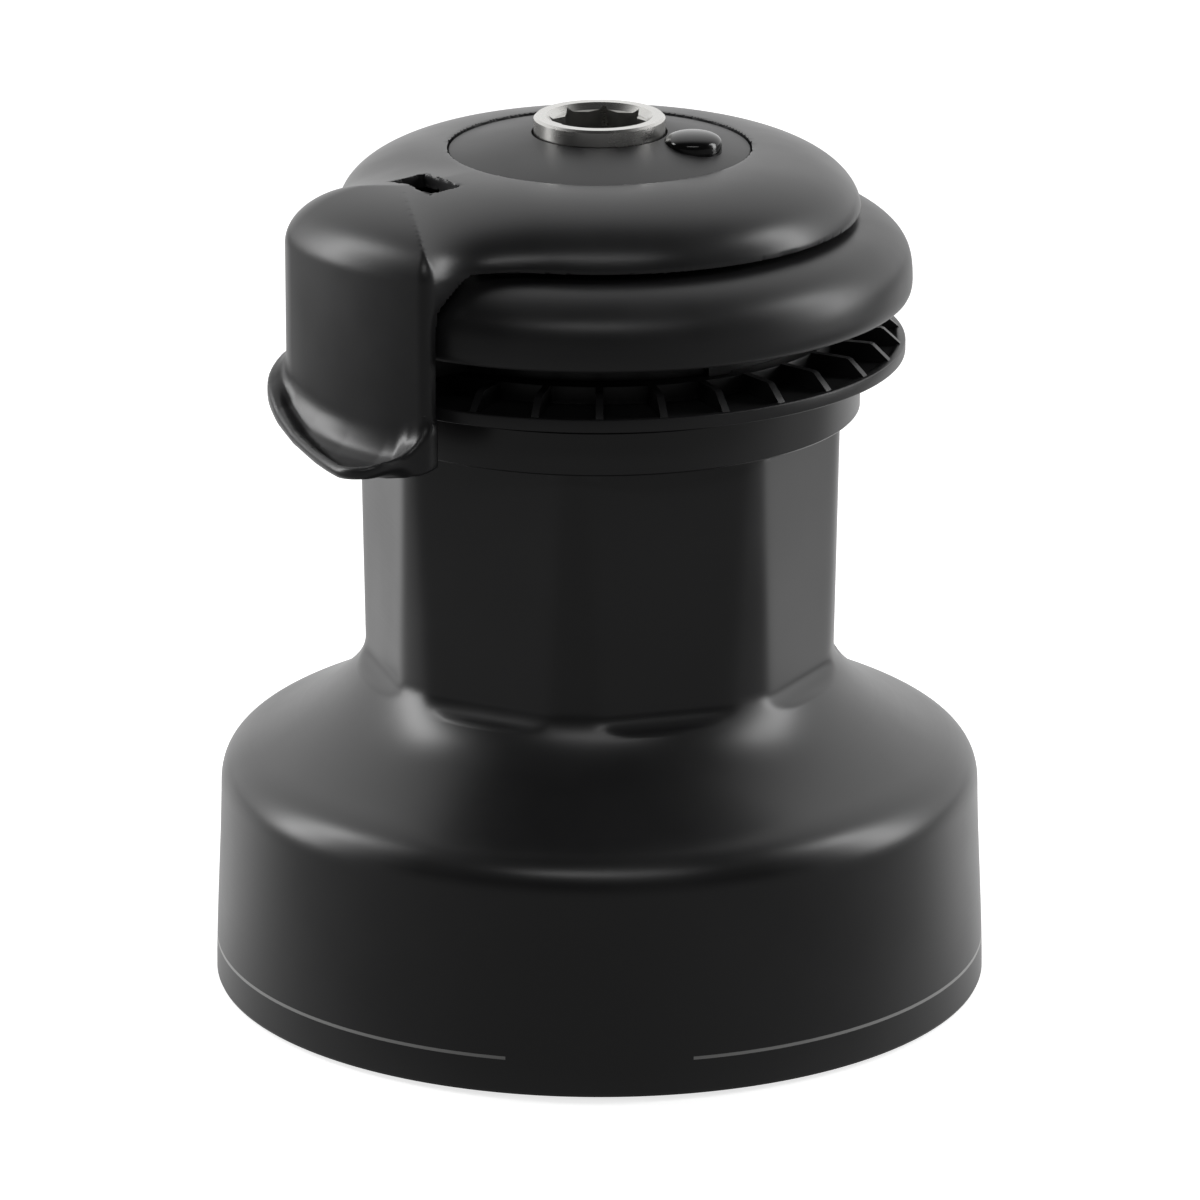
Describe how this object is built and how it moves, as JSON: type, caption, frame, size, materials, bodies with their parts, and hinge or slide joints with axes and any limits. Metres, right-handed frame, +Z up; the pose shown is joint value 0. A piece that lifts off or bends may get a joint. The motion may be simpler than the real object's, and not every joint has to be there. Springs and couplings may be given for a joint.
{
  "type": "sailing winch",
  "caption": "Two-speed self-tailing winch with a flared drum, toothed line jaws, a domed cover with a line arm and a star socket for the handle.",
  "frame": {"origin": "centre of the base plate's underside, on the deck", "axes": "+Z up the spindle, -Y towards the side with the arm to its left, +X to that side's right"},
  "size_m": [0.19, 0.19, 0.2179],
  "materials": {
    "drum_black": "hard-anodised black aluminium, satin sheen",
    "moulded_black": "glass-filled nylon, fine moulded texture, satin",
    "jaw_black": "moulded black nylon, matte",
    "button_gloss": "polished black acetal",
    "stainless": "turned stainless steel",
    "bronze": "machined aluminium bronze",
    "alloy": "cast and machined aluminium, clear anodised",
    "acetal_white": "machined natural acetal"
  },
  "bodies": {
    "base": {"base_plate": "alloy", "centre_stem": "alloy", "stem_screws": "stainless", "lower_bush": "acetal_white", "middle_bush": "acetal_white", "head_bush": "acetal_white", "power_shaft": "stainless", "idler_shafts": "stainless", "idler_spacers": "stainless", "gear_washers": "acetal_white", "thrust_washer": "acetal_white", "retaining_washer": "acetal_white", "retaining_ring": "stainless", "arm_hub": "moulded_black", "arm_hub_screws": "stainless", "top_plate": "moulded_black", "button_spring": "stainless"},
    "drum": {"drum": "drum_black", "ring_gear": "bronze", "ring_gear_screws": "stainless", "jaw_hub": "jaw_black", "jaw_screws": "stainless", "upper_jaw": "moulded_black", "jaw_springs": "stainless"},
    "lower_jaw": {"lower_jaw": "jaw_black"},
    "spindle": {"main_spindle": "stainless", "spindle_head": "stainless", "spindle_gear": "stainless", "first_pawl_springs": "stainless"},
    "first_gear": {"first_speed_gear": "bronze"},
    "first_pawl_a": {"first_pawl_a": "stainless"},
    "first_pawl_b": {"first_pawl_b": "stainless"},
    "inner_idler": {"inner_idler_gear": "bronze"},
    "outer_idler": {"outer_idler_gear": "bronze"},
    "power_gear": {"power_gear": "bronze"},
    "power_pinion": {"power_pinion": "stainless", "power_pawls": "stainless", "power_pawl_springs": "stainless"},
    "lower_bearing": {"lower_cage": "acetal_white", "lower_rollers": "stainless"},
    "upper_bearing": {"upper_cage": "acetal_white", "upper_rollers": "stainless"},
    "arm": {"arm_cover": "moulded_black", "arm_leg": "moulded_black", "line_stripper": "jaw_black"},
    "button": {"release_button": "button_gloss", "button_latch": "stainless"}
  },
  "joints": [
    {"name": "drum_spin", "type": "hinge", "parent": "base", "child": "drum", "pos_m": [0, 0, 0.06], "axis": [0, 0, 1], "continuous": true},
    {"name": "spindle_spin", "type": "hinge", "parent": "base", "child": "spindle", "pos_m": [0, 0, 0.06], "axis": [0, 0, 1], "continuous": true},
    {"name": "first_gear_spin", "type": "hinge", "parent": "base", "child": "first_gear", "pos_m": [0, 0, 0.03], "axis": [0, 0, 1], "continuous": true},
    {"name": "inner_idler_spin", "type": "hinge", "parent": "base", "child": "inner_idler", "pos_m": [-0.03471, 0.01418, 0.03], "axis": [0, 0, 1], "continuous": true},
    {"name": "outer_idler_spin", "type": "hinge", "parent": "base", "child": "outer_idler", "pos_m": [-0.04346, -0.01582, 0.03], "axis": [0, 0, 1], "continuous": true},
    {"name": "power_gear_spin", "type": "hinge", "parent": "base", "child": "power_gear", "pos_m": [0.04875, 0, 0.015], "axis": [0, 0, 1], "continuous": true},
    {"name": "power_pinion_spin", "type": "hinge", "parent": "base", "child": "power_pinion", "pos_m": [0.04875, 0, 0.03], "axis": [0, 0, 1], "continuous": true},
    {"name": "lower_bearing_spin", "type": "hinge", "parent": "base", "child": "lower_bearing", "pos_m": [0, 0, 0.07], "axis": [0, 0, 1], "continuous": true},
    {"name": "upper_bearing_spin", "type": "hinge", "parent": "base", "child": "upper_bearing", "pos_m": [0, 0, 0.138], "axis": [0, 0, 1], "continuous": true},
    {"name": "lower_jaw_slide", "type": "slide", "parent": "drum", "child": "lower_jaw", "axis": [0, 0, 1], "range_m": [-0.003, 0], "stiffness_N_per_m": 4000, "springref_m": 0.004, "deforming": ["jaw_springs"]},
    {"name": "first_pawl_a_swing", "type": "hinge", "parent": "spindle", "child": "first_pawl_a", "pos_m": [0.01, 0, 0.033], "axis": [0, 0, 1], "range_deg": [-24.5, 0], "stiffness_Nm_per_rad": 0.01, "springref_deg": 11.46},
    {"name": "first_pawl_b_swing", "type": "hinge", "parent": "spindle", "child": "first_pawl_b", "pos_m": [-0.01, 0, 0.033], "axis": [0, 0, 1], "range_deg": [-24.5, 0], "stiffness_Nm_per_rad": 0.01, "springref_deg": 11.46},
    {"name": "arm_turn", "type": "hinge", "parent": "base", "child": "arm", "pos_m": [0, 0, 0.195], "axis": [0, 0, 1], "range_deg": [0, 60]},
    {"name": "button_press", "type": "slide", "parent": "base", "child": "button", "axis": [0, 0, -1], "range_m": [0, 0.0025], "stiffness_N_per_m": 500, "springref_m": -0.003, "deforming": ["button_spring"]}
  ],
  "couplings": [
    {"joint": "spindle_spin", "follows": "drum_spin", "ratio": 2.7778},
    {"joint": "first_gear_spin", "follows": "drum_spin", "ratio": 2.7778},
    {"joint": "outer_idler_spin", "follows": "drum_spin", "ratio": 3.8462},
    {"joint": "inner_idler_spin", "follows": "drum_spin", "ratio": -4.1667},
    {"joint": "power_pinion_spin", "follows": "drum_spin", "ratio": 4.5455},
    {"joint": "power_gear_spin", "follows": "drum_spin", "ratio": -1.0913},
    {"joint": "lower_bearing_spin", "follows": "drum_spin", "ratio": 0.54535},
    {"joint": "upper_bearing_spin", "follows": "drum_spin", "ratio": 0.54535}
  ]
}
